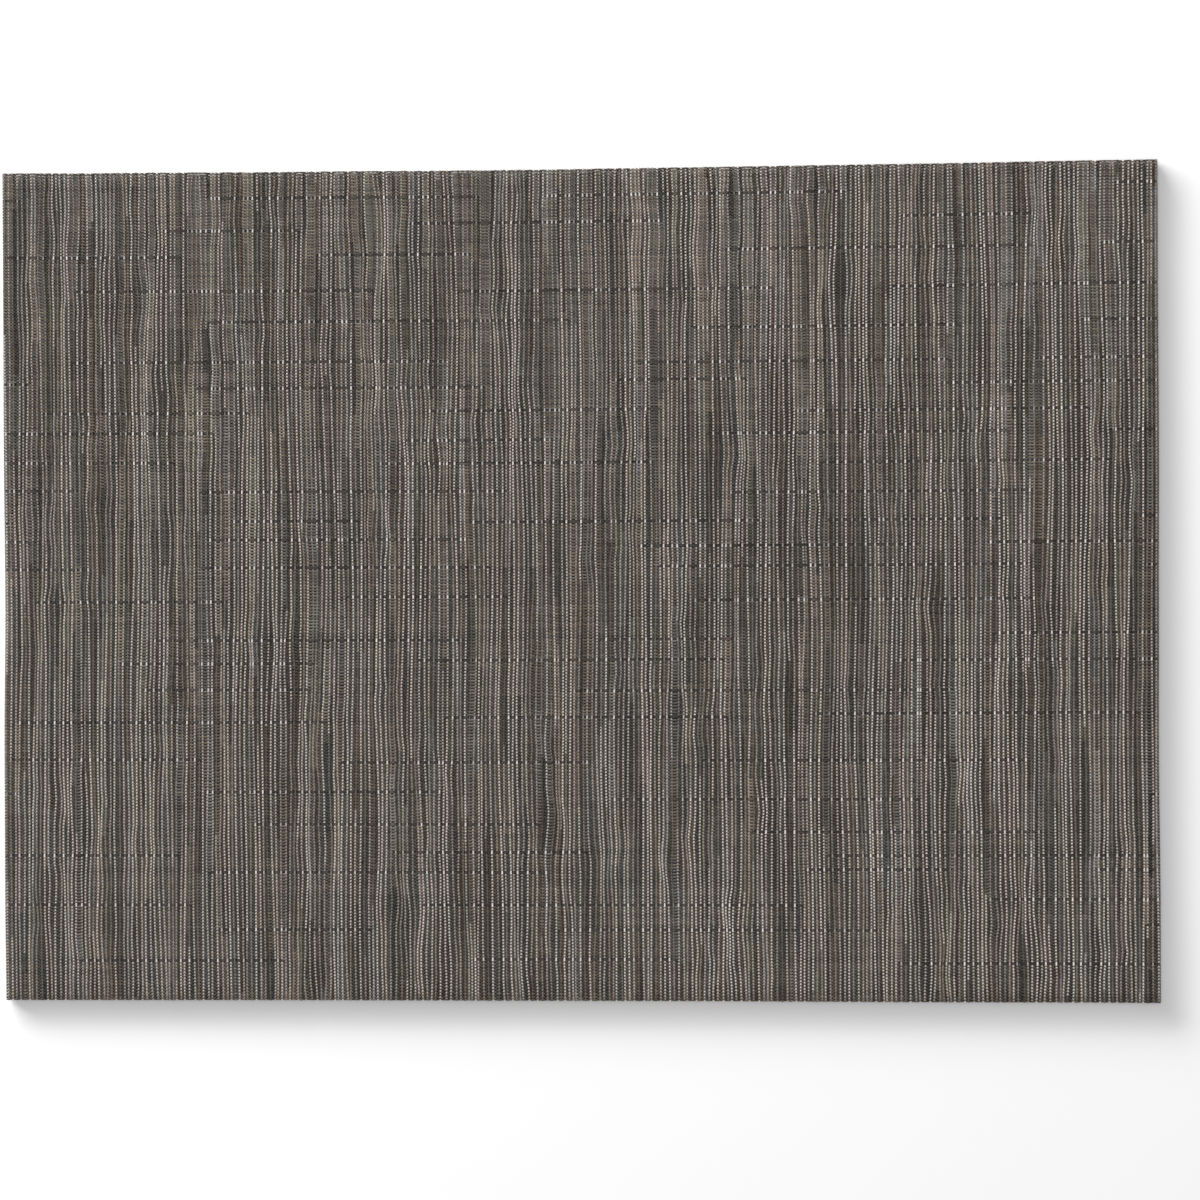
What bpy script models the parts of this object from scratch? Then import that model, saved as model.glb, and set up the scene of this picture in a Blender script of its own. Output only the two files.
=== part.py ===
"""A woven placemat, lying flat and face up.

The mat is one rectangle of plain-woven coated yarn, cut clean on all four sides, with no hem,
binding or backing, so it is a single closed solid. The yarns that run from front to back stand up
as fine ribs. They wander sideways, so the ribs bunch together in some places and part in others.

Lengths are in metres. X runs across the width, Y from front to back and Z up. The flat underside
rests on z = 0, and the origin is under the middle of the mat.
"""

import math
from collections import namedtuple

import bmesh
import bpy
from mathutils import Vector, noise

# The cut size of the mat, and its thickness over the ribs.
WIDTH = 0.457
DEPTH = 0.330
THICKNESS = 0.0015

# The ribs: one for each yarn that runs from front to back.
RIB_PITCH = 0.00175
RIB_RELIEF = 0.00045
RIB_UNEVEN = 0.00018
RIB_COUNT = round(WIDTH / RIB_PITCH)
POINTS_ACROSS = 2 * RIB_COUNT
FURROW_HEIGHT = THICKNESS - RIB_RELIEF
HEIGHT_SLACK = 0.00001

# How far the ribs stray sideways, the size of a bunch of them, and the strip at each side where they
# run straight. The planes pick two unlike slices of the noise that places the bunches and the dips.
WANDER = 0.0016
BUNCH_WIDTH = 0.010
BUNCH_LENGTH = 0.075
SIDE_STRIP = 0.010
WANDER_PLANE = 0.5
DIP_PLANE = 7.5

# Rows of the face from front to back, and the few large panels of the flat underside.
FACE_ROWS = 6
UNDER_COLUMNS = 13
UNDER_ROWS = 3
UNDER_MARGIN = 0.012

# Warm grey of the light and dark yarns together, as linear colour, and the dull sheen of their coating.
YARN_GREY = (0.128, 0.113, 0.100, 1.0)
YARN_ROUGHNESS = 0.55

# How far each cut edge falls inside the full rectangle, at shares of the way along it.
LongEdges = namedtuple("LongEdges", "share back front")
LONG_EDGES = (
    LongEdges(share=0.00, back=0.00000, front=0.00000),
    LongEdges(share=0.09, back=0.00032, front=0.00004),
    LongEdges(share=0.26, back=0.00075, front=0.00021),
    LongEdges(share=0.43, back=0.00107, front=0.00024),
    LongEdges(share=0.60, back=0.00087, front=0.00027),
    LongEdges(share=0.78, back=0.00059, front=0.00008),
    LongEdges(share=0.95, back=0.00012, front=0.00012),
    LongEdges(share=1.00, back=0.00000, front=0.00000),
)
ShortEdges = namedtuple("ShortEdges", "share left right")
SHORT_EDGES = (
    ShortEdges(share=0.00, left=0.00029, right=0.00014),
    ShortEdges(share=0.12, left=0.00000, right=0.00009),
    ShortEdges(share=0.30, left=0.00001, right=0.00051),
    ShortEdges(share=0.48, left=0.00064, right=0.00028),
    ShortEdges(share=0.67, left=0.00030, right=0.00000),
    ShortEdges(share=0.85, left=0.00035, right=0.00017),
    ShortEdges(share=1.00, left=0.00029, right=0.00014),
)


def eased(rows, column, share):
    """A column's value at a share of the way along the table, eased from row to row."""
    for low, high in zip(rows, rows[1:]):
        if share <= high.share:
            step = (share - low.share) / (high.share - low.share)
            step = step * step * (3.0 - 2.0 * step)
            start = getattr(low, column)
            return start + (getattr(high, column) - start) * step
    return getattr(rows[-1], column)


def on_outline(across, along):
    """The X and Y of a point given as shares of the way across the width and along the depth."""
    left = -WIDTH / 2 + eased(SHORT_EDGES, "left", along)
    right = WIDTH / 2 - eased(SHORT_EDGES, "right", along)
    front = -DEPTH / 2 + eased(LONG_EDGES, "front", across)
    back = DEPTH / 2 - eased(LONG_EDGES, "back", across)
    return left + (right - left) * across, front + (back - front) * along


def wander(x, y):
    """How far the rib at this place strays sideways: nothing at the side edges, more in the middle."""
    fade = min(1.0, max(0.0, (WIDTH / 2 - abs(x)) / SIDE_STRIP))
    return WANDER * fade * noise.noise(Vector((x / BUNCH_WIDTH, y / BUNCH_LENGTH, WANDER_PLANE)))


def rib_height(rib, y):
    """The height of a rib's crest. Some ribs sit a little lower than their neighbours."""
    dip = noise.noise(Vector((rib * math.pi, y / BUNCH_LENGTH, DIP_PLANE)))
    return THICKNESS - RIB_UNEVEN * max(0.0, dip)


def face_grid(bm):
    """The ribbed face: a grid whose points lie in turn in a furrow and on a rib's crest."""
    made = bmesh.ops.create_grid(bm, x_segments=POINTS_ACROSS, y_segments=FACE_ROWS, size=0.5)
    for point in made["verts"]:
        across, along = point.co.x + 0.5, point.co.y + 0.5
        column = round(across * POINTS_ACROSS)
        x, y = on_outline(across, along)
        on_crest = column % 2 == 1
        height = rib_height(column // 2, y) if on_crest else FURROW_HEIGHT
        point.co = (x + wander(x, y), y, height)


def cut_sides(bm):
    """The four upright cut sides: the face's open edges drawn down to z = 0, one panel to a rib."""
    made = bmesh.ops.extrude_edge_only(bm, edges=[edge for edge in bm.edges if edge.is_boundary])
    foot = {part for part in made["geom"] if isinstance(part, bmesh.types.BMVert)}
    for point in foot:
        point.co.z = 0.0
    below_crests = [edge for edge in bm.edges if is_below_crest(edge, foot)]
    bmesh.ops.dissolve_edges(bm, edges=below_crests, use_verts=True)
    return [edge for edge in bm.edges if edge.is_boundary]


def is_below_crest(edge, foot):
    """Whether an edge stands upright between the foot of a cut side and a rib's crest."""
    stands_on_foot = (edge.verts[0] in foot) != (edge.verts[1] in foot)
    return stands_on_foot and max(end.co.z for end in edge.verts) > FURROW_HEIGHT + HEIGHT_SLACK


def under_panels(bm):
    """The middle of the flat underside: a few large panels, turned to face down."""
    made = bmesh.ops.create_grid(bm, x_segments=UNDER_COLUMNS, y_segments=UNDER_ROWS, size=0.5)
    corners = set(made["verts"])
    for point in corners:
        across, along = point.co.x * 2.0, point.co.y * 2.0
        point.co = (across * (WIDTH / 2 - UNDER_MARGIN), along * (DEPTH / 2 - UNDER_MARGIN), 0.0)
    bmesh.ops.reverse_faces(bm, faces=[face for face in bm.faces if corners.issuperset(face.verts)])
    return [edge for edge in bm.edges if edge.is_boundary and corners.issuperset(edge.verts)]


def along_side(edges, direction):
    """Those edges of a closed ring that lie on the side of the mat that faces this way."""
    across = Vector((-direction.y, direction.x, 0.0))
    found = []
    for edge in edges:
        run = edge.verts[1].co - edge.verts[0].co
        if abs(run.dot(across)) > abs(run.dot(direction)) and edge.verts[0].co.dot(direction) > 0.0:
            found.append(edge)
    return found


def close_underside(bm, foot, panels):
    """The margin of the underside, bridged side by side from the cut sides' foot to the panels."""
    for direction in (Vector((0, -1, 0)), Vector((0, 1, 0)), Vector((-1, 0, 0)), Vector((1, 0, 0))):
        edges = along_side(foot, direction) + along_side(panels, direction)
        bmesh.ops.bridge_loops(bm, edges=edges)
    bmesh.ops.recalc_face_normals(bm, faces=bm.faces)


def yarn_material():
    """Dull coated yarn in warm grey."""
    material = bpy.data.materials.new("coated_yarn")
    material.use_nodes = True
    shader = material.node_tree.nodes["Principled BSDF"]
    shader.inputs["Base Color"].default_value = YARN_GREY
    shader.inputs["Roughness"].default_value = YARN_ROUGHNESS
    shader.inputs["Metallic"].default_value = 0.0
    return material


def woven_mat(collection):
    """The mat itself, as one closed solid."""
    bm = bmesh.new()
    face_grid(bm)
    foot = cut_sides(bm)
    close_underside(bm, foot, under_panels(bm))
    mesh = bpy.data.meshes.new("woven_mat")
    bm.to_mesh(mesh)
    bm.free()
    mesh.materials.append(yarn_material())
    mat = bpy.data.objects.new("woven_mat", mesh)
    collection.objects.link(mat)
    return mat


def main():
    """Clears the scene and builds the placemat in a collection of its own."""
    for old in list(bpy.data.objects):
        bpy.data.objects.remove(old, do_unlink=True)
    collection = bpy.data.collections.new("placemat")
    bpy.context.scene.collection.children.link(collection)
    woven_mat(collection)


main()
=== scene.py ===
"""The woven placemat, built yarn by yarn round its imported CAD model.

Light yarns run from front to back and lie flat. Dark yarns run from left to right and pass over and
under them in turn. Here and there two dark yarns side by side take the same step for a stretch, so
that every second light yarn shows there as a longer bright dash. The light yarns follow the CAD
model's ribs, with a slow sway and local kinks of their own.

Lengths are in metres. X runs across the width, Y from front to back and Z up.
"""

import logging
import math
from dataclasses import dataclass, field
from enum import Enum

import bpy
import numpy as np
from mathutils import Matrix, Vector, noise


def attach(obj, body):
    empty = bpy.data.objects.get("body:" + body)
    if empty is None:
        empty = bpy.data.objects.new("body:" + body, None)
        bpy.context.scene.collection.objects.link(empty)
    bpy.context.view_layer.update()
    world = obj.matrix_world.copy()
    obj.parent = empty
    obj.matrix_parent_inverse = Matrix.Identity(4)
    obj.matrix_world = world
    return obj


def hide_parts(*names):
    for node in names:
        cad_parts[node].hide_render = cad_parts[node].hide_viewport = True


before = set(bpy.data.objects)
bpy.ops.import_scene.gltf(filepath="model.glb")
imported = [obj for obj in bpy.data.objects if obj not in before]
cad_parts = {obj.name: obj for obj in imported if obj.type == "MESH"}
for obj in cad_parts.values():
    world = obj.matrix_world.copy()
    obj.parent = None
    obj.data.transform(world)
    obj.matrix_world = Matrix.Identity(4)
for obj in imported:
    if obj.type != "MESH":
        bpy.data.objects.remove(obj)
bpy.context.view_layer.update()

LOG = logging.getLogger("placemat")
CAD_NODE = "woven_mat"
CAD_BODY = "root"

# The bake reads this map, and the finishes read the two numberings and the painted shade.
MAP_NAME = "OFBake"
YARN_NUMBER = "yarn_number"
CROSSING_NUMBER = "crossing_number"
PAINTED_CROSSING_SHADE = "painted_crossing_shade"

# The middle of a noise texture's range, and what keeps a whole number from being cut to the one
# below it.
NOISE_MIDDLE = 0.5
NUMBER_SLACK = 0.01


@dataclass(frozen=True)
class EdgeStation:
    """How far two facing cut edges fall inside the full rectangle, at a share of the way along."""

    share: float
    far: float
    near: float


@dataclass(frozen=True)
class MatOutline:
    """The cut outline of the mat, and how its ribs stray sideways, as in the CAD model."""

    width: float = 0.457
    depth: float = 0.330
    stray: float = 0.0016
    bunch_width: float = 0.010
    bunch_length: float = 0.075
    stray_slice: float = 0.5
    straight_strip: float = 0.010
    long_edges: tuple[EdgeStation, ...] = (
        EdgeStation(share=0.00, far=0.00000, near=0.00000),
        EdgeStation(share=0.09, far=0.00032, near=0.00004),
        EdgeStation(share=0.26, far=0.00075, near=0.00021),
        EdgeStation(share=0.43, far=0.00107, near=0.00024),
        EdgeStation(share=0.60, far=0.00087, near=0.00027),
        EdgeStation(share=0.78, far=0.00059, near=0.00008),
        EdgeStation(share=0.95, far=0.00012, near=0.00012),
        EdgeStation(share=1.00, far=0.00000, near=0.00000),
    )
    short_edges: tuple[EdgeStation, ...] = (
        EdgeStation(share=0.00, far=0.00014, near=0.00029),
        EdgeStation(share=0.12, far=0.00009, near=0.00000),
        EdgeStation(share=0.30, far=0.00051, near=0.00001),
        EdgeStation(share=0.48, far=0.00028, near=0.00064),
        EdgeStation(share=0.67, far=0.00000, near=0.00030),
        EdgeStation(share=0.85, far=0.00017, near=0.00035),
        EdgeStation(share=1.00, far=0.00014, near=0.00029),
    )

    @staticmethod
    def eased(
        stations: tuple[EdgeStation, ...], shares: np.ndarray
    ) -> tuple[np.ndarray, np.ndarray]:
        """Reads a table of stations at many places, eased from one station to the next.

        Args:
            stations: The table, in order of its shares.
            shares: The places, each from 0 to 1.

        Returns:
            The far edge's and the near edge's values.
        """
        marks = np.array([station.share for station in stations])
        low = np.clip(np.searchsorted(marks, shares, side="right") - 1, 0, len(marks) - 2)
        step = np.clip((shares - marks[low]) / (marks[low + 1] - marks[low]), 0.0, 1.0)
        step = step * step * (3.0 - 2.0 * step)
        found = []
        for side in ("far", "near"):
            values = np.array([getattr(station, side) for station in stations])
            found.append(values[low] + (values[low + 1] - values[low]) * step)
        return found[0], found[1]

    def place(self, across: np.ndarray, along: np.ndarray) -> tuple[np.ndarray, np.ndarray]:
        """Turns shares of the way across the width and along the depth into X and Y.

        Args:
            across: Shares of the way from the left edge to the right.
            along: Shares of the way from the front edge to the back.

        Returns:
            The X and the Y of each place.
        """
        right, left = self.eased(self.short_edges, along)
        back, front = self.eased(self.long_edges, across)
        left = left - self.width / 2
        right = self.width / 2 - right
        front = front - self.depth / 2
        back = self.depth / 2 - back
        return left + (right - left) * across, front + (back - front) * along

    def strips_inside(self, x: float) -> float:
        """How far in from its side edge a place is, in widths of the strip that runs straight."""
        return (self.width / 2 - abs(x)) / self.straight_strip

    def stray_at(self, x: float, y: float) -> float:
        """Finds how far the rib at a place strays sideways.

        Args:
            x: The place across the width.
            y: The place along the depth.

        Returns:
            The stray, which fades out at the side edges.
        """
        fade = min(1.0, max(0.0, self.strips_inside(x)))
        spot = Vector((x / self.bunch_width, y / self.bunch_length, self.stray_slice))
        return self.stray * fade * noise.noise(spot)


@dataclass(frozen=True)
class YarnSection:
    """A yarn's cross-section: its corners in order round it, and each side's share of the map."""

    corners: tuple[tuple[float, float], ...]
    map_shares: tuple[float, ...]


@dataclass(frozen=True)
class YarnNumbers:
    """Which yarn, which ring along it and which corner of the section each point of a bundle is."""

    yarn: np.ndarray
    ring: np.ndarray
    corner: np.ndarray


@dataclass(frozen=True)
class YarnCourse:
    """The way that some yarns take, ring by ring: middle points, spread and painted shade."""

    middle: np.ndarray
    spread: np.ndarray
    shade: np.ndarray

    def share(self, yarns: np.ndarray) -> "YarnCourse":
        """The course of some of the yarns."""
        return YarnCourse(self.middle[yarns], self.spread[yarns], self.shade[yarns])


@dataclass(frozen=True)
class YarnBundle:
    """Many like yarns in one mesh, drawn straight and side by side, then laid into the cloth."""

    name: str
    section: YarnSection
    yarns: int
    rings: int
    ring_step: float = 0.01
    yarn_step: float = 0.1
    drawn_radius: float = 0.01
    merge_distance: float = 0.0001
    map_margin: float = 0.004
    map_inset: float = 0.08
    map_end_middle: float = 0.5
    map_end_size: float = 0.3

    def draw(self) -> bpy.types.Object:
        """Draws one yarn with a ring for each step, closes its ends, and sets the others beside it.

        Returns:
            The bundle, still straight.
        """
        deselect_all()
        bpy.ops.mesh.primitive_cylinder_add(
            vertices=len(self.section.corners),
            radius=self.drawn_radius,
            depth=self.ring_step,
            end_fill_type="NOTHING",
            location=(0.0, 0.0, self.ring_step / 2),
        )
        bundle = bpy.context.object
        bundle.name = self.name
        bundle.data.name = self.name
        bpy.ops.object.transform_apply(location=True, rotation=True, scale=True)
        self.repeat(bundle, self.rings - 1, (0.0, 0.0, self.ring_step), merged=True)
        bpy.ops.object.mode_set(mode="EDIT")
        bpy.ops.mesh.select_all(action="SELECT")
        bpy.ops.mesh.fill_holes(sides=0)
        bpy.ops.mesh.select_all(action="SELECT")
        bpy.ops.mesh.normals_make_consistent(inside=False)
        bpy.ops.object.mode_set(mode="OBJECT")
        self.repeat(bundle, self.yarns, (self.yarn_step, 0.0, 0.0), merged=False)
        bpy.ops.object.shade_smooth()
        return bundle

    def repeat(
        self, bundle: bpy.types.Object, count: int, offset: tuple[float, float, float], merged: bool
    ) -> None:
        """Repeats the mesh in a row with an array that is then applied.

        Args:
            bundle: The object to repeat.
            count: How many there are in the row.
            offset: The way from one to the next.
            merged: Whether the points where two meet become one.
        """
        row = bundle.modifiers.new("row", "ARRAY")
        row.count = count
        row.use_relative_offset = False
        row.use_constant_offset = True
        row.constant_offset_displace = offset
        row.use_merge_vertices = merged
        row.merge_threshold = self.merge_distance
        bpy.ops.object.modifier_apply(modifier=row.name)

    def numbers(self, bundle: bpy.types.Object) -> YarnNumbers:
        """Reads each point's yarn, ring and corner from where it was drawn.

        Args:
            bundle: The bundle, still straight.

        Returns:
            The numbers of all its points.
        """
        points = np.zeros(len(bundle.data.vertices) * 3, np.float32)
        bundle.data.vertices.foreach_get("co", points)
        points = points.reshape(-1, 3).astype(float)
        yarn = np.rint(points[:, 0] / self.yarn_step).astype(int)
        ring = np.rint(points[:, 2] / self.ring_step).astype(int)
        turn = np.arctan2(points[:, 1], points[:, 0] - yarn * self.yarn_step)
        corners = len(self.section.corners)
        corner = np.rint((turn - math.pi / 2) / (2 * math.pi / corners)).astype(int) % corners
        return YarnNumbers(yarn=yarn, ring=ring, corner=corner)

    def lay(
        self, bundle: bpy.types.Object, numbers: YarnNumbers, course: YarnCourse, sideways: Vector
    ) -> None:
        """Moves every ring onto its yarn's course through the cloth.

        Args:
            bundle: The bundle, still straight.
            numbers: The numbers of its points.
            course: Where each yarn runs, and how it spreads.
            sideways: The level direction across the yarn that the section's first value follows.
        """
        section = np.array(self.section.corners)[numbers.corner]
        points = course.middle[numbers.yarn, numbers.ring].copy()
        spread = course.spread[numbers.yarn, numbers.ring]
        points += (section[:, 0] * spread)[:, None] * np.array(sideways)
        points[:, 2] += section[:, 1]
        bundle.data.vertices.foreach_set("co", points.astype(np.float32).ravel())
        bundle.data.update()

    def make_map(self, bundle: bpy.types.Object, numbers: YarnNumbers) -> None:
        """Lays the yarns out as strips, one above the other, each with its sides unrolled.

        Args:
            bundle: The bundle to map.
            numbers: The numbers of its points.
        """
        mesh = bundle.data
        point = np.zeros(len(mesh.loops), np.int32)
        mesh.loops.foreach_get("vertex_index", point)
        start = np.zeros(len(mesh.polygons), np.int32)
        total = np.zeros(len(mesh.polygons), np.int32)
        mesh.polygons.foreach_get("loop_start", start)
        mesh.polygons.foreach_get("loop_total", total)
        ring, corner, yarn = numbers.ring[point], numbers.corner[point], numbers.yarn[point]
        is_end = np.maximum.reduceat(ring, start) == np.minimum.reduceat(ring, start)
        first = np.minimum.reduceat(corner, start)
        last = np.maximum.reduceat(corner, start)
        side = np.repeat(np.where(last - first == 1, first, last), total)
        edges = np.concatenate(([0.0], np.cumsum(self.section.map_shares)))
        strip = edges[side + (corner != side)]
        u = self.map_margin + (1.0 - 2.0 * self.map_margin) * ring / (self.rings - 1)
        v = self.map_inset + (1.0 - 2.0 * self.map_inset) * strip
        section = np.array(self.section.corners)
        section = (section / np.abs(section).max(axis=0))[corner]
        end = np.repeat(is_end, total)
        end_u = np.where(ring == 0, self.map_margin / 2, 1.0 - self.map_margin / 2)
        u = np.where(end, end_u + self.map_end_size * self.map_margin * section[:, 0], u)
        v = np.where(end, self.map_end_middle + self.map_end_size * section[:, 1], v)
        places = np.stack([u, (yarn + v) / self.yarns], axis=1)
        layer = mesh.uv_layers.new(name=MAP_NAME)
        layer.data.foreach_set("uv", places.astype(np.float32).ravel())

    @staticmethod
    def number_points(bundle: bpy.types.Object, name: str, values: np.ndarray) -> None:
        """Gives each point a number that the finish reads."""
        attribute = bundle.data.attributes.new(name, "FLOAT", "POINT")
        attribute.data.foreach_set("value", values.astype(np.float32))


@dataclass(frozen=True)
class StepChanges:
    """Where the step changes: two dark yarns side by side take the same step for a stretch.

    Over that stretch a row of bright dashes shows, and the steps beyond it are swapped.
    """

    seed: int = 41
    row_gap: tuple[float, float] = (0.0085, 0.0165)
    row_scatter: float = 0.0020
    plain_margin: int = 2
    length: tuple[float, float] = (0.045, 0.150)
    rest: tuple[float, float] = (0.025, 0.110)
    # Painted shade along a row: what the colour of its two dark yarns is multiplied by.
    painted_row_shade: float = 0.46
    dash_push: float = 0.00011
    dash_spread: float = 1.0


@dataclass(frozen=True)
class YarnKinks:
    """Local bunches, in some patches of the mat only, where the light yarns are pushed aside."""

    push: float = 0.00125
    width: float = 0.0060
    length: float = 0.017
    push_slice: float = 5.5
    patch_size: float = 0.021
    patch_slice: float = 3.5
    patch_gain: float = 3.4
    patch_onset: float = 0.10
    clear_strip: float = 0.2

    def push_at(self, x: float, y: float, strips_inside: float) -> float:
        """Finds how far a light yarn is pushed aside at a place.

        Args:
            x: The place across the width.
            y: The place along the depth.
            strips_inside: How far in from its side edge the place is, in strips that run straight.

        Returns:
            The way to the right, or to the left where it is negative.
        """
        fade = min(1.0, max(0.0, strips_inside - self.clear_strip))
        patch = noise.noise(Vector((x / self.patch_size, y / self.patch_size, self.patch_slice)))
        push = noise.noise(Vector((x / self.width, y / self.length, self.push_slice)))
        strength = max(0.0, min(1.0, self.patch_gain * patch - self.patch_onset))
        return self.push * fade * strength * push


@dataclass(frozen=True)
class PlainWeave:
    """The cloth's structure: where each yarn runs, and which one lies on top at each crossing."""

    outline: MatOutline = MatOutline()
    changes: StepChanges = StepChanges()
    kinks: YarnKinks = YarnKinks()
    light_yarns: int = 261
    dark_yarns: int = 536
    light_rings: int = 67
    level: float = 0.00075
    crimp: float = 0.00063
    spread_on_top: float = 1.18
    spread_below: float = 0.76
    spread_at_edge: float = 1.14
    edge_strip: float = 0.009
    # Painted shade on the outermost dark yarns, which dims the rims that the key lamp lights.
    painted_edge_shade: float = 0.80
    edge_inset: float = 0.00018
    stray_share: float = 0.66
    # Painted shade by how far the light yarns part, and the range that it is held to.
    painted_gap_shade: float = 1.2
    painted_shade_range: tuple[float, float] = (0.40, 1.25)
    light_sway: float = 0.00070
    light_sway_length: float = 0.070
    least_gap: float = 0.00104
    push_rounds: int = 30
    dark_sway: float = 0.00005
    dark_sway_length: float = 0.040
    end_scatter: float = 0.00006
    seed: int = 7

    def light_course(self) -> YarnCourse:
        """Lays out the light yarns, which follow the CAD model's ribs and each sway a little.

        Returns:
            Their course, level all along.
        """
        rng = np.random.default_rng(self.seed)
        across = (np.arange(self.light_yarns) + 0.5) / self.light_yarns
        along = np.linspace(0.0, 1.0, self.light_rings)
        x, y = self.outline.place(
            *[part.ravel() for part in np.meshgrid(across, along, indexing="ij")]
        )
        shape = (self.light_yarns, self.light_rings)
        stray = [self.stray_share * self.outline.stray_at(*spot) for spot in zip(x, y)]
        sway = [
            noise.noise(Vector((number * math.pi, spot / self.light_sway_length, self.seed)))
            for number, spot in zip(np.repeat(np.arange(self.light_yarns), self.light_rings), y)
        ]
        kinks = [
            self.kinks.push_at(*spot, self.outline.strips_inside(spot[0])) for spot in zip(x, y)
        ]
        x = x + np.array(stray) + self.light_sway * np.array(sway) + np.array(kinks)
        x = x.reshape(shape)
        for _ in range(self.push_rounds):
            overlap = np.maximum(0.0, self.least_gap - np.diff(x, axis=0))
            x[:-1] -= overlap / 2
            x[1:] += overlap / 2
        y = y.reshape(shape)
        y[:, 0] -= self.end_scatter * rng.random(self.light_yarns)
        y[:, -1] += self.end_scatter * rng.random(self.light_yarns)
        middle = np.stack([x, y, np.full(shape, self.level)], axis=2)
        return YarnCourse(middle, np.ones(shape), np.ones(shape))

    def step_rows(self) -> np.ndarray:
        """Lays out the rows at which the step changes, each in stretches with plain cloth between.

        Returns:
            True at each crossing whose dark yarn takes the same step as the one before it.
        """
        changes = self.changes
        rng = np.random.default_rng(changes.seed)
        rows = np.zeros((self.dark_yarns, self.light_yarns), bool)
        row = rng.uniform(*changes.row_gap)
        while row < self.outline.depth:
            start = -rng.uniform(*changes.length)
            while start < self.outline.width:
                end = start + rng.uniform(*changes.length)
                place = row + rng.uniform(-changes.row_scatter, changes.row_scatter)
                number = round(place / self.outline.depth * self.dark_yarns)
                first = max(0, round(start / self.outline.width * self.light_yarns))
                last = max(0, round(end / self.outline.width * self.light_yarns))
                if changes.plain_margin < number < self.dark_yarns - changes.plain_margin:
                    rows[number, first:last] = True
                start = end + rng.uniform(*changes.rest)
            row += rng.uniform(*changes.row_gap)
        return rows

    @staticmethod
    def dark_on_top(rows: np.ndarray) -> np.ndarray:
        """Finds which yarn lies on top at each crossing.

        Args:
            rows: True at each crossing whose dark yarn takes the same step as the one before it.

        Returns:
            True at each crossing where it is the dark yarn.
        """
        dark, light = np.indices(rows.shape)
        return ((dark + light) % 2 == 0) ^ np.logical_xor.accumulate(rows, axis=0)

    def dark_places(self, light: YarnCourse) -> tuple[np.ndarray, np.ndarray]:
        """Lays out the dark yarns' rings, one on each light yarn and one at each cut end.

        Args:
            light: The course of the light yarns.

        Returns:
            The X and the Y of each ring.
        """
        rng = np.random.default_rng(self.seed + 1)
        along = (np.arange(self.dark_yarns) + 0.5) / self.dark_yarns
        across = (np.arange(self.light_yarns) + 0.5) / self.light_yarns
        across = np.concatenate(([0.0], across, [1.0]))
        x, y = self.outline.place(
            *[part.ravel() for part in np.meshgrid(across, along, indexing="xy")]
        )
        shape = (self.dark_yarns, self.light_yarns + 2)
        x, y = x.reshape(shape), y.reshape(shape)
        for number in range(self.light_yarns):
            rib = light.middle[number]
            x[:, number + 1] = np.interp(y[:, number + 1], rib[:, 1], rib[:, 0])
        x[:, 0] -= self.end_scatter * rng.random(self.dark_yarns)
        x[:, -1] += self.end_scatter * rng.random(self.dark_yarns)
        return x, y

    def dark_spread(
        self, x: np.ndarray, y: np.ndarray, on_top: np.ndarray, dashes: np.ndarray
    ) -> np.ndarray:
        """Finds how wide the dark yarns are pressed at each ring.

        Args:
            x: The X of each ring.
            y: The Y of each ring.
            on_top: True at each crossing where the dark yarn is on top.
            dashes: True at each crossing where two dark yarns lie below the light one.

        Returns:
            What their width is multiplied by. It is most on top of a light yarn, and least below
            one away from the cut edges.
        """
        inset = np.minimum(self.outline.width / 2 - np.abs(x), self.outline.depth / 2 - np.abs(y))
        at_edge = np.clip(1.0 - inset[:, 1:-1] / self.edge_strip, 0.0, 1.0)
        below = self.spread_below + (self.spread_at_edge - self.spread_below) * at_edge
        spread = np.ones(x.shape)
        spread[:, 1:-1] = np.where(on_top, self.spread_on_top, below)
        spread[1:, 1:-1][dashes[:-1]] = self.changes.dash_spread
        spread[:-2, 1:-1][dashes[2:]] = self.changes.dash_spread
        return spread

    def dark_painted_shade(self, x: np.ndarray, rows: np.ndarray) -> np.ndarray:
        """Finds the shade painted into the dark yarns' colour at each ring.

        Args:
            x: The X of each ring.
            rows: True at each crossing whose dark yarn takes the same step as the one before it.

        Returns:
            What their colour is multiplied by: painted shade, deeper where the light yarns part,
            lighter where they crowd, and deeper along the rows where the step changes and on the
            outermost two yarns.
        """
        opening = (x[:, 2:] - x[:, :-2]) / 2 * self.light_yarns / self.outline.width
        marks = rows.copy()
        marks[:-1] |= rows[1:]
        shade = np.ones(x.shape)
        shade[:, 1:-1] = np.clip(1.0 - self.painted_gap_shade * (opening - 1.0), *self.painted_shade_range)
        shade[:, 1:-1] *= np.where(marks, self.changes.painted_row_shade, 1.0)
        shade[[0, -1]] *= self.painted_edge_shade
        return shade

    def dark_course(self, light: YarnCourse) -> YarnCourse:
        """Lays out the dark yarns, over and under the light ones.

        Args:
            light: The course of the light yarns.

        Returns:
            Their course. The yarns beside a dash part a little, and the outermost two step inwards
            where they are on top.
        """
        x, y = self.dark_places(light)
        rows = self.step_rows()
        on_top = self.dark_on_top(rows)
        dashes = rows & ~on_top
        height = np.full(x.shape, self.level)
        height[:, 1:-1] += np.where(on_top, self.crimp, -self.crimp)
        spread = self.dark_spread(x, y, on_top, dashes)
        sway = [
            noise.noise(Vector((spot / self.dark_sway_length, number * math.pi, self.seed)))
            for number, spots in enumerate(x)
            for spot in spots
        ]
        y += self.dark_sway * np.array(sway).reshape(x.shape)
        y[1:, 1:-1] += self.changes.dash_push * dashes[:-1]
        y[:-2, 1:-1] -= self.changes.dash_push * dashes[2:]
        y[0, 1:-1] += self.edge_inset * on_top[0]
        y[-1, 1:-1] -= self.edge_inset * on_top[-1]
        return YarnCourse(np.stack([x, y, height], axis=2), spread, self.dark_painted_shade(x, rows))


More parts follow.
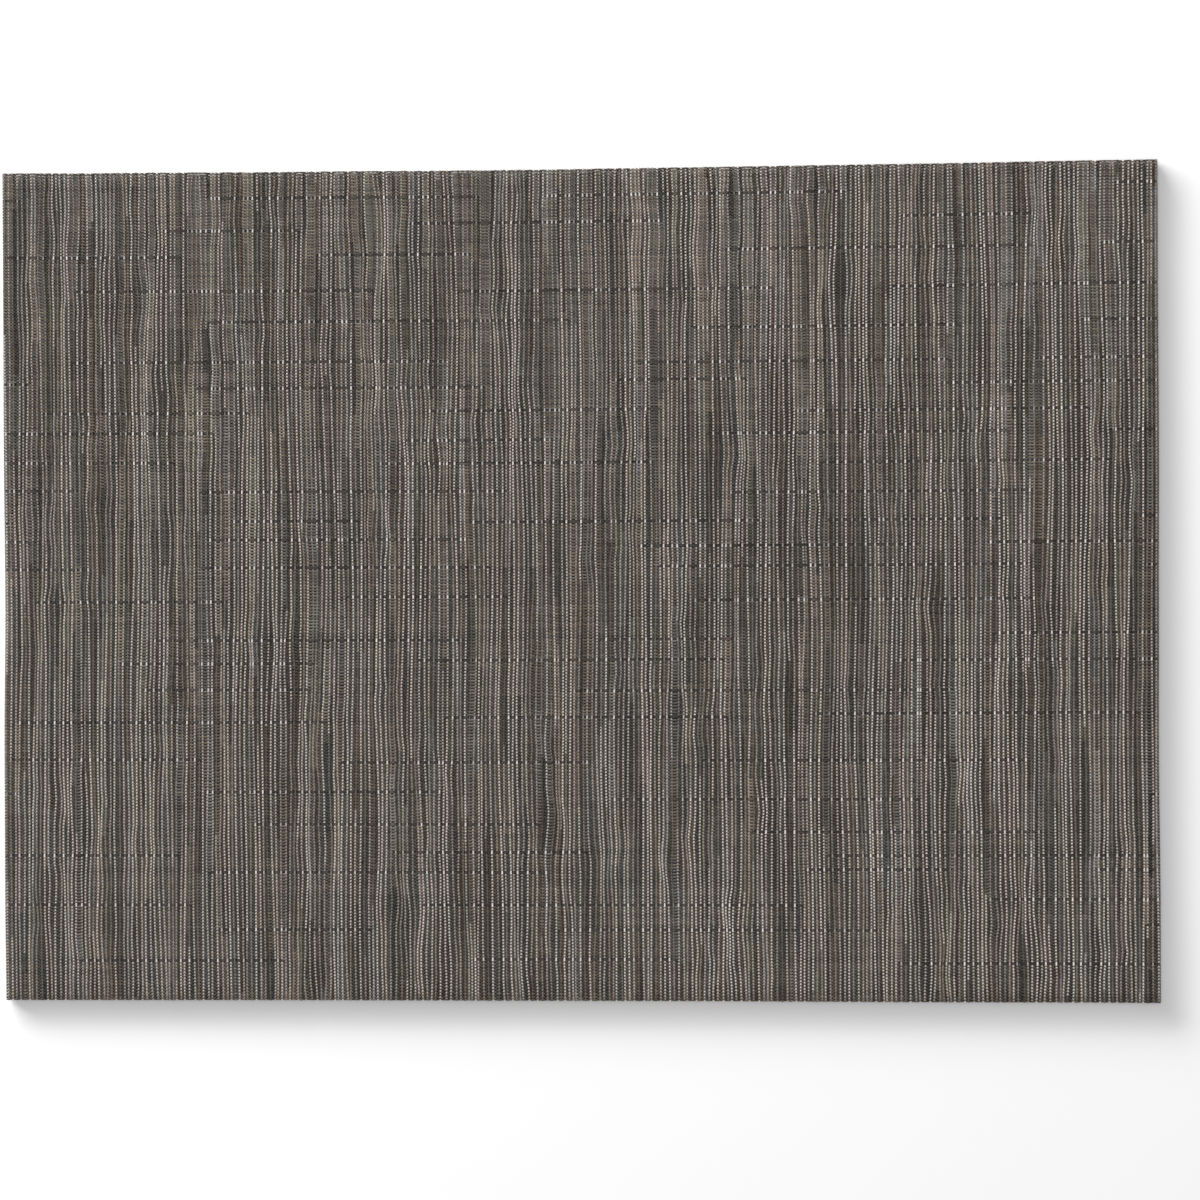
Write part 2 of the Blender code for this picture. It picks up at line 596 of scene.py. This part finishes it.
class Tone(Enum):
    """The colours of the coated yarns, and the tints that shift them, as linear colour."""

    CREAM = (0.960, 0.885, 0.848, 1.0)
    SHELL = (0.835, 0.765, 0.730, 1.0)
    TAUPE = (0.492, 0.452, 0.427, 1.0)
    STONE = (0.246, 0.224, 0.206, 1.0)
    PEAT = (0.115, 0.098, 0.079, 1.0)
    FLINT = (0.235, 0.205, 0.174, 1.0)
    MOUSE = (0.138, 0.116, 0.093, 1.0)
    PLUM = (0.075, 0.060, 0.045, 1.0)
    PINK_TINT = (1.045, 0.978, 0.982, 1.0)
    PLAIN_TINT = (1.000, 1.000, 1.000, 1.0)
    SAGE_TINT = (0.975, 1.008, 0.960, 1.0)
    RUST_TINT = (1.130, 0.966, 0.870, 1.0)
    KHAKI_TINT = (0.985, 1.022, 0.820, 1.0)
    STEEL_TINT = (0.900, 1.000, 1.130, 1.0)


@dataclass(frozen=True)
class ToneStop:
    """A colour and its place on a scale from 0 to 1."""

    place: float
    tone: Tone


class NodeBoard:
    """Adds nodes to one tree and wires them up."""

    def __init__(self, tree: bpy.types.NodeTree) -> None:
        """Keeps the tree that the nodes go into."""
        self.tree = tree

    def add(
        self, kind: str, inputs: dict[str | int, object] | None = None, **settings: object
    ) -> bpy.types.Node:
        """Adds one node.

        Args:
            kind: The node's type.
            inputs: What goes into its sockets: another node's output, or a plain value.
            **settings: The node's own settings.

        Returns:
            The new node.
        """
        node = self.tree.nodes.new(kind)
        for name, value in settings.items():
            setattr(node, name, value)
        for key, value in (inputs or {}).items():
            self.feed(node.inputs[key], value)
        return node

    def feed(self, socket: bpy.types.NodeSocket, value: object) -> None:
        """Links an output to a socket, or sets the socket's value.

        Args:
            socket: The socket to fill.
            value: Another node's output, or a plain value.
        """
        if isinstance(value, bpy.types.NodeSocket):
            self.tree.links.new(value, socket)
        else:
            socket.default_value = value

    def reckon(self, operation: str, *values: object) -> bpy.types.NodeSocket:
        """Adds a Math node and returns its result."""
        return self.add("ShaderNodeMath", dict(enumerate(values)), operation=operation).outputs[0]

    def scale_of_tones(self, factor: object, stops: tuple[ToneStop, ...]) -> bpy.types.NodeSocket:
        """Adds a colour ramp.

        Args:
            factor: What picks the place on the ramp.
            stops: The colours along it, in order.

        Returns:
            The colour picked.
        """
        ramp = self.add("ShaderNodeValToRGB", {0: factor})
        elements = ramp.color_ramp.elements
        elements[0].position, elements[0].color = stops[0].place, stops[0].tone.value
        elements[1].position, elements[1].color = stops[-1].place, stops[-1].tone.value
        for stop in stops[1:-1]:
            elements.new(stop.place).color = stop.tone.value
        return ramp.outputs["Color"]


class EffectGroup:
    """A node group with named inputs and outputs, built once and used by both yarn finishes."""

    def __init__(self, name: str, inputs: tuple[str, ...], outputs: tuple[str, ...]) -> None:
        """Makes the empty group with its sockets.

        Args:
            name: The group's name.
            inputs: The names of its number inputs.
            outputs: The names of its number outputs.
        """
        self.group = bpy.data.node_groups.new(name, "ShaderNodeTree")
        for direction, sockets in (("INPUT", inputs), ("OUTPUT", outputs)):
            for socket in sockets:
                self.group.interface.new_socket(
                    name=socket, in_out=direction, socket_type="NodeSocketFloat"
                )
        self.board = NodeBoard(self.group)
        self.entry = self.board.add("NodeGroupInput")
        self.exit = self.board.add("NodeGroupOutput")

    def use(self, board: NodeBoard, **inputs: object) -> bpy.types.Node:
        """Places the group in a material with its own values.

        Args:
            board: The board of the material's nodes.
            **inputs: What goes into the group's inputs: another node's output, or a plain value.

        Returns:
            The new group node.
        """
        node = board.add("ShaderNodeGroup", node_tree=self.group)
        for name, value in inputs.items():
            board.feed(node.inputs[name], value)
        return node


class LengthBands(EffectGroup):
    """Lengths of even shade along a yarn, each with its own random level and tint."""

    YARN_OFFSET = 17.37

    def __init__(self) -> None:
        """Builds the group."""
        super().__init__("length_bands", ("Yarn", "Along", "Length", "Seed"), ("Level", "Tint"))
        board, entry = self.board, self.entry.outputs
        place = board.reckon("DIVIDE", entry["Along"], entry["Length"])
        place = board.reckon("MULTIPLY_ADD", entry["Yarn"], self.YARN_OFFSET, place)
        place = board.reckon("ADD", place, entry["Seed"])
        cells = board.add(
            "ShaderNodeTexVoronoi", {"W": place, "Scale": 1.0}, voronoi_dimensions="1D"
        )
        parts = board.add("ShaderNodeSeparateColor", {0: cells.outputs["Color"]})
        board.feed(self.exit.inputs["Level"], parts.outputs[0])
        board.feed(self.exit.inputs["Tint"], parts.outputs[1])


class CoatGrain(EffectGroup):
    """The fine unevenness of a yarn's coating, as a level and as a height."""

    NOISE_DETAIL = 2.0
    NOISE_ROUGHNESS = 0.6
    GRAIN_HEIGHT = 0.00004

    def __init__(self) -> None:
        """Builds the group."""
        super().__init__("coat_grain", ("Across", "Along", "Up", "Scale"), ("Level", "Height"))
        board, entry = self.board, self.entry.outputs
        spot = board.add(
            "ShaderNodeCombineXYZ", {0: entry["Across"], 1: entry["Along"], 2: entry["Up"]}
        )
        fine = board.add(
            "ShaderNodeTexNoise",
            {
                "Vector": spot.outputs[0],
                "Scale": entry["Scale"],
                "Detail": self.NOISE_DETAIL,
                "Roughness": self.NOISE_ROUGHNESS,
            },
        )
        height = board.reckon("MULTIPLY", fine.outputs["Fac"], self.GRAIN_HEIGHT)
        board.feed(self.exit.inputs["Level"], fine.outputs["Fac"])
        board.feed(self.exit.inputs["Height"], height)


class PaintedCreviceShade(EffectGroup):
    """Painted shade: darker where a yarn dips between its neighbours, by height in the cloth."""

    def __init__(self) -> None:
        """Builds the group."""
        super().__init__("painted_crevice_shade", ("Up", "Low", "High", "Least"), ("Shade",))
        board, entry = self.board, self.entry.outputs
        rise = board.add(
            "ShaderNodeMapRange",
            {
                "Value": entry["Up"],
                "From Min": entry["Low"],
                "From Max": entry["High"],
                "To Min": entry["Least"],
                "To Max": 1.0,
            },
            interpolation_type="SMOOTHSTEP",
        )
        board.feed(self.exit.inputs["Shade"], rise.outputs["Result"])


@dataclass(frozen=True)
class YarnEffects:
    """The groups that both yarn finishes use."""

    bands: LengthBands
    grain: CoatGrain
    crevice: PaintedCreviceShade


@dataclass(frozen=True)
class YarnFinish:
    """A coated yarn's finish: its shades, the lengths that they last, its dull sheen and painted
    shade.
    """

    name: str
    numbering: str
    shades: tuple[ToneStop, ...]
    tints: tuple[ToneStop, ...]
    own_weight: float
    band_weight: float
    turn_weight: float
    drift_weight: float
    band_length: float
    roughness: float
    sheen: float
    # Where the painted crevice shade starts and ends in height, and the least it multiplies the
    # colour by.
    painted_crevice_low: float
    painted_crevice_high: float
    painted_crevice_least: float
    # The point attribute that holds painted shade, if the yarn has one.
    painted_shade_attribute: str = ""
    cross_gain: float = 0.0
    cross_length: float = 0.060
    drift_across: float = 75.0
    drift_along: float = 32.0
    drift_detail: float = 3.0
    grain_scale: float = 2600.0
    grain_depth: float = 0.10
    roughness_swing: float = 0.16
    bump_strength: float = 0.6
    seed: float = 0.0

    def material(self, effects: YarnEffects) -> bpy.types.Material:
        """Builds the finish as a material.

        Args:
            effects: The groups that both finishes use.

        Returns:
            The new material.
        """
        material = bpy.data.materials.new(self.name)
        material.use_nodes = True
        board = NodeBoard(material.node_tree)
        shader = material.node_tree.nodes["Principled BSDF"]
        spot = board.add("ShaderNodeTexCoord").outputs["Object"]
        spot = board.add("ShaderNodeSeparateXYZ", {0: spot}).outputs
        number = self.number(board, self.numbering)
        band = effects.bands.use(
            board, Yarn=number, Along=spot["Y"], Length=self.band_length, Seed=self.seed
        ).outputs
        coat = effects.grain.use(
            board, Across=spot["X"], Along=spot["Y"], Up=spot["Z"], Scale=self.grain_scale
        ).outputs
        shades = board.scale_of_tones(self.level(board, spot, number, band["Level"]), self.shades)
        tints = board.scale_of_tones(band["Tint"], self.tints)
        colour = board.add("ShaderNodeVectorMath", {0: shades, 1: tints}, operation="MULTIPLY")
        shade = self.shade(board, effects, spot, coat["Level"])
        colour = board.add(
            "ShaderNodeVectorMath", {0: colour.outputs[0], "Scale": shade}, operation="SCALE"
        )
        least_rough = self.roughness - self.roughness_swing / 2
        roughness = board.reckon("MULTIPLY_ADD", coat["Level"], self.roughness_swing, least_rough)
        bump = board.add(
            "ShaderNodeBump",
            {"Height": coat["Height"], "Strength": self.bump_strength, "Distance": 1.0},
        )
        board.feed(shader.inputs["Base Color"], colour.outputs[0])
        board.feed(shader.inputs["Roughness"], roughness)
        board.feed(shader.inputs["Normal"], bump.outputs["Normal"])
        shader.inputs["Specular IOR Level"].default_value = self.sheen
        return material

    def shade(
        self,
        board: NodeBoard,
        effects: YarnEffects,
        spot: bpy.types.bpy_prop_collection,
        grain: bpy.types.NodeSocket,
    ) -> bpy.types.NodeSocket:
        """Multiplies up the grain, the painted shade and the lighter or darker lengths.

        Args:
            board: The board to add the nodes to.
            effects: The groups that both finishes use.
            spot: The X, Y and Z of the place.
            grain: The level of the coating's grain.

        Returns:
            What the colour is multiplied by.
        """
        shade = board.reckon("MULTIPLY_ADD", grain, self.grain_depth, 1.0 - self.grain_depth / 2)
        # Painted shade in the crevices, by height in the cloth.
        crevice = effects.crevice.use(
            board,
            Up=spot["Z"],
            Low=self.painted_crevice_low,
            High=self.painted_crevice_high,
            Least=self.painted_crevice_least,
        )
        shade = board.reckon("MULTIPLY", shade, crevice.outputs["Shade"])
        # Painted shade carried by the yarns' points.
        if self.painted_shade_attribute:
            crossing = board.add("ShaderNodeAttribute", attribute_name=self.painted_shade_attribute).outputs["Fac"]
            shade = board.reckon("MULTIPLY", shade, crossing)
        if self.cross_gain:
            shade = board.reckon("MULTIPLY", shade, self.cross_lengths(board, effects, spot))
        return shade

    @staticmethod
    def number(board: NodeBoard, numbering: str) -> bpy.types.NodeSocket:
        """Reads a yarn's number, or that of the gap between two light yarns, as a whole number."""
        number = board.add("ShaderNodeAttribute", attribute_name=numbering).outputs["Fac"]
        return board.reckon("FLOOR", board.reckon("ADD", number, NUMBER_SLACK))

    def level(
        self,
        board: NodeBoard,
        spot: bpy.types.bpy_prop_collection,
        number: bpy.types.NodeSocket,
        band: bpy.types.NodeSocket,
    ) -> bpy.types.NodeSocket:
        """Adds up how light the yarn is: its own level, the band's, its turn's and a slow drift's.

        Args:
            board: The board to add the nodes to.
            spot: The X, Y and Z of the place.
            number: The yarn's number.
            band: The level of the length of even shade.

        Returns:
            The place on the scale of shades.
        """
        own = board.add("ShaderNodeTexWhiteNoise", {"W": number}, noise_dimensions="1D")
        across = board.reckon("MULTIPLY", spot["X"], self.drift_across)
        along = board.reckon("MULTIPLY", spot["Y"], self.drift_along)
        place = board.add("ShaderNodeCombineXYZ", {0: across, 1: along, 2: self.seed}).outputs[0]
        drift = board.add(
            "ShaderNodeTexNoise", {"Vector": place, "Scale": 1.0, "Detail": self.drift_detail}
        )
        drift = board.reckon("SUBTRACT", drift.outputs["Fac"], NOISE_MIDDLE)
        level = board.reckon("MULTIPLY", own.outputs["Value"], self.own_weight)
        level = board.reckon("MULTIPLY_ADD", band, self.band_weight, level)
        turn = board.reckon("MODULO", number, 2.0)
        level = board.reckon("MULTIPLY_ADD", turn, self.turn_weight, level)
        return board.reckon("MULTIPLY_ADD", drift, self.drift_weight, level)

    def cross_lengths(
        self, board: NodeBoard, effects: YarnEffects, spot: bpy.types.bpy_prop_collection
    ) -> bpy.types.NodeSocket:
        """Makes each length of a yarn that runs from left to right a little lighter or darker.

        Args:
            board: The board to add the nodes to.
            effects: The groups that both finishes use.
            spot: The X, Y and Z of the place.

        Returns:
            What the colour is multiplied by.
        """
        yarn = self.number(board, YARN_NUMBER)
        lengths = effects.bands.use(
            board, Yarn=yarn, Along=spot["X"], Length=self.cross_length, Seed=self.seed
        )
        return board.reckon(
            "MULTIPLY_ADD", lengths.outputs["Level"], self.cross_gain, 1.0 - self.cross_gain / 2
        )


LIGHT_FINISH = YarnFinish(
    name="light_coated_yarn",
    numbering=YARN_NUMBER,
    shades=(
        ToneStop(0.00, Tone.PEAT),
        ToneStop(0.18, Tone.STONE),
        ToneStop(0.40, Tone.TAUPE),
        ToneStop(0.66, Tone.SHELL),
        ToneStop(1.00, Tone.CREAM),
    ),
    tints=(
        ToneStop(0.00, Tone.PINK_TINT),
        ToneStop(0.50, Tone.PLAIN_TINT),
        ToneStop(1.00, Tone.SAGE_TINT),
    ),
    own_weight=0.13,
    band_weight=0.74,
    turn_weight=0.24,
    drift_weight=0.28,
    band_length=0.072,
    roughness=0.50,
    sheen=0.40,
    # Painted shade on the flanks of the light yarns.
    painted_crevice_low=0.00074,
    painted_crevice_high=0.00104,
    painted_crevice_least=0.30,
    seed=2.5,
)
DARK_FINISH = YarnFinish(
    name="dark_coated_yarn",
    numbering=CROSSING_NUMBER,
    shades=(
        ToneStop(0.00, Tone.PLUM),
        ToneStop(0.55, Tone.MOUSE),
        ToneStop(1.00, Tone.FLINT),
    ),
    tints=(
        ToneStop(0.00, Tone.PLAIN_TINT),
        ToneStop(0.25, Tone.RUST_TINT),
        ToneStop(0.50, Tone.KHAKI_TINT),
        ToneStop(0.75, Tone.STEEL_TINT),
        ToneStop(1.00, Tone.PINK_TINT),
    ),
    own_weight=0.10,
    band_weight=0.90,
    turn_weight=0.0,
    drift_weight=0.40,
    band_length=0.035,
    roughness=0.46,
    sheen=0.32,
    # Painted shade where the dark yarns dip low between the light ones.
    painted_crevice_low=0.00058,
    painted_crevice_high=0.00118,
    painted_crevice_least=0.11,
    painted_shade_attribute=PAINTED_CROSSING_SHADE,
    cross_gain=0.62,
    seed=8.5,
)


@dataclass
class LightYarns:
    """The light yarns, which run from front to back and lie flat."""

    weave: PlainWeave
    name: str = "light_yarns"
    width: float = 0.00092
    thickness: float = 0.00096
    flat_size: tuple[float, float] = (0.457, 0.330)
    piece: bpy.types.Object | None = field(default=None, init=False)

    def build(self, course: YarnCourse) -> None:
        """Makes the yarns.

        Args:
            course: Where they run.
        """
        side, top = self.width / 2, self.thickness / 2
        section = YarnSection(
            corners=((0.0, top), (-side, 0.0), (0.0, -top), (side, 0.0)),
            map_shares=(0.38, 0.12, 0.12, 0.38),
        )
        bundle = YarnBundle(self.name, section, self.weave.light_yarns, self.weave.light_rings)
        self.piece = bundle.draw()
        numbers = bundle.numbers(self.piece)
        bundle.lay(self.piece, numbers, course, Vector((-1.0, 0.0, 0.0)))
        bundle.make_map(self.piece, numbers)
        bundle.number_points(self.piece, YARN_NUMBER, numbers.yarn)

    def dress(self, material: bpy.types.Material) -> None:
        """Gives the yarns their finish and joins them to the part."""
        join_to_part(self.piece, material)


@dataclass
class DarkYarns:
    """The dark yarns, which run from left to right over and under the light ones."""

    weave: PlainWeave
    name: str = "dark_yarns"
    width: float = 0.00050
    top: float = 0.00012
    bottom: float = -0.00012
    piece_count: int = 5
    pieces: list[bpy.types.Object] = field(default_factory=list, init=False)

    def build(self, course: YarnCourse) -> None:
        """Makes the yarns, a share of them in each piece.

        Args:
            course: Where they all run.
        """
        section = YarnSection(
            corners=((0.0, self.bottom), (self.width / 2, self.top), (-self.width / 2, self.top)),
            map_shares=(0.25, 0.50, 0.25),
        )
        yarns, rings = course.spread.shape
        for number, share in enumerate(np.array_split(np.arange(yarns), self.piece_count)):
            bundle = YarnBundle(f"{self.name}_{number + 1}", section, len(share), rings)
            piece = bundle.draw()
            numbers = bundle.numbers(piece)
            bundle.lay(piece, numbers, course.share(share), Vector((0.0, 1.0, 0.0)))
            bundle.make_map(piece, numbers)
            bundle.number_points(piece, YARN_NUMBER, numbers.yarn + share[0])
            crossing = np.clip(numbers.ring, 0.5, self.weave.light_yarns + 0.5)
            bundle.number_points(piece, CROSSING_NUMBER, crossing)
            # The painted shade at each ring.
            shade = course.share(share).shade[numbers.yarn, numbers.ring]
            bundle.number_points(piece, PAINTED_CROSSING_SHADE, shade)
            self.pieces.append(piece)

    def dress(self, material: bpy.types.Material) -> None:
        """Gives the yarns their finish and joins them to the part."""
        for piece in self.pieces:
            join_to_part(piece, material)


@dataclass(frozen=True)
class SoftLamp:
    """A large lamp, and where it stands as seen from the mat."""

    name: str
    azimuth: float
    elevation: float
    distance: float
    width: float
    height: float
    watts: float
    linked_to: str = ""
    link: str = "INCLUDE"

    def build(self) -> None:
        """Hangs the lamp and turns it to the mat. It may light one object alone, or all but one."""
        turn, rise = math.radians(self.azimuth), math.radians(self.elevation)
        place = self.distance * Vector(
            (math.cos(rise) * math.cos(turn), math.cos(rise) * math.sin(turn), math.sin(rise))
        )
        lamp = bpy.data.lights.new(self.name, "AREA")
        lamp.energy = self.watts
        lamp.shape = "RECTANGLE"
        lamp.size = self.width
        lamp.size_y = self.height
        holder = bpy.data.objects.new(self.name, lamp)
        holder.location = place
        holder.rotation_euler = (-place).to_track_quat("-Z", "Y").to_euler()
        holder.visible_camera = False
        bpy.context.scene.collection.objects.link(holder)
        if self.linked_to:
            linked = bpy.data.collections.new(self.name + "_link")
            linked.objects.link(bpy.data.objects[self.linked_to])
            linked.collection_objects[0].light_linking.link_state = self.link
            holder.light_linking.receiver_collection = linked


@dataclass
class Studio:
    """The pale floor, the soft light and the camera above the mat."""

    floor_size: float = 8.0
    floor_colour: tuple[float, float, float, float] = (0.77, 0.77, 0.77, 1.0)
    floor_roughness: float = 0.9
    sky_colour: tuple[float, float, float, float] = (1.0, 1.0, 1.0, 1.0)
    sky_strength: float = 0.68
    lamps: tuple[SoftLamp, ...] = (
        SoftLamp(
            name="key_lamp",
            azimuth=128.0,
            elevation=32.0,
            distance=2.6,
            width=1.0,
            height=1.0,
            watts=44.0,
            linked_to="floor",
            link="EXCLUDE",
        ),
        SoftLamp(
            name="near_shadow_lamp",
            azimuth=132.5,
            elevation=8.2,
            distance=2.6,
            width=2.4,
            height=0.50,
            watts=105.0,
            linked_to="floor",
        ),
        SoftLamp(
            name="wide_shadow_lamp",
            azimuth=132.5,
            elevation=4.4,
            distance=2.6,
            width=2.4,
            height=0.21,
            watts=508.0,
            linked_to="floor",
        ),
    )
    camera_place: tuple[float, float, float] = (0.0296, -0.0054, 0.6588)
    camera_turn: tuple[float, float, float] = (-0.088, 1.737, -0.260)
    camera_lens: float = 50.0
    camera_sensor: float = 36.0
    camera_clip: float = 0.01

    def build_floor(self) -> None:
        """Lays the floor that the mat rests on."""
        deselect_all()
        bpy.ops.mesh.primitive_plane_add(size=self.floor_size, location=(0.0, 0.0, 0.0))
        floor = bpy.context.object
        floor.name = "floor"
        paint = bpy.data.materials.new("floor_paint")
        paint.use_nodes = True
        shader = paint.node_tree.nodes["Principled BSDF"]
        shader.inputs["Base Color"].default_value = self.floor_colour
        shader.inputs["Roughness"].default_value = self.floor_roughness
        shader.inputs["Specular IOR Level"].default_value = 0.0
        floor.data.materials.append(paint)

    def build_light(self) -> None:
        """Lights the scene from all round, with the lamps on top of that."""
        world = bpy.data.worlds.new("soft_sky")
        world.use_nodes = True
        sky = world.node_tree.nodes["Background"]
        sky.inputs["Color"].default_value = self.sky_colour
        sky.inputs["Strength"].default_value = self.sky_strength
        bpy.context.scene.world = world
        for lamp in self.lamps:
            lamp.build()
        bpy.context.scene.view_settings.view_transform = "Standard"

    def build_camera(self) -> None:
        """Sets the camera where the photograph was taken from."""
        camera = bpy.data.cameras.new("camera")
        camera.lens = self.camera_lens
        camera.sensor_width = self.camera_sensor
        camera.clip_start = self.camera_clip
        holder = bpy.data.objects.new("camera", camera)
        holder.location = self.camera_place
        holder.rotation_euler = [math.radians(angle) for angle in self.camera_turn]
        bpy.context.scene.collection.objects.link(holder)
        bpy.context.scene.camera = holder


def deselect_all() -> None:
    """Leaves nothing selected, so that the next operator acts on the new piece alone."""
    bpy.ops.object.select_all(action="DESELECT")


def join_to_part(piece: bpy.types.Object, material: bpy.types.Material) -> None:
    """Gives a piece its finish and makes it stand for the CAD model's cloth.

    Args:
        piece: The piece, in its place.
        material: Its finish.
    """
    piece.data.materials.clear()
    piece.data.materials.append(material)
    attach(piece, CAD_BODY)
    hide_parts(CAD_NODE)
    triangles = sum(len(face.vertices) - 2 for face in piece.data.polygons)
    LOG.info("%s: %d triangles", piece.name, triangles)


def main() -> None:
    """Builds the cloth and the studio."""
    logging.basicConfig(level=logging.INFO, format="%(name)s: %(message)s")
    effects = YarnEffects(LengthBands(), CoatGrain(), PaintedCreviceShade())
    weave = PlainWeave()
    light_course = weave.light_course()
    light = LightYarns(weave)
    light.build(light_course)
    light.dress(LIGHT_FINISH.material(effects))
    dark = DarkYarns(weave)
    dark.build(weave.dark_course(light_course))
    dark.dress(DARK_FINISH.material(effects))
    studio = Studio()
    studio.build_floor()
    studio.build_light()
    studio.build_camera()
    LOG.info("studio is ready")


if __name__ == "__main__":
    main()
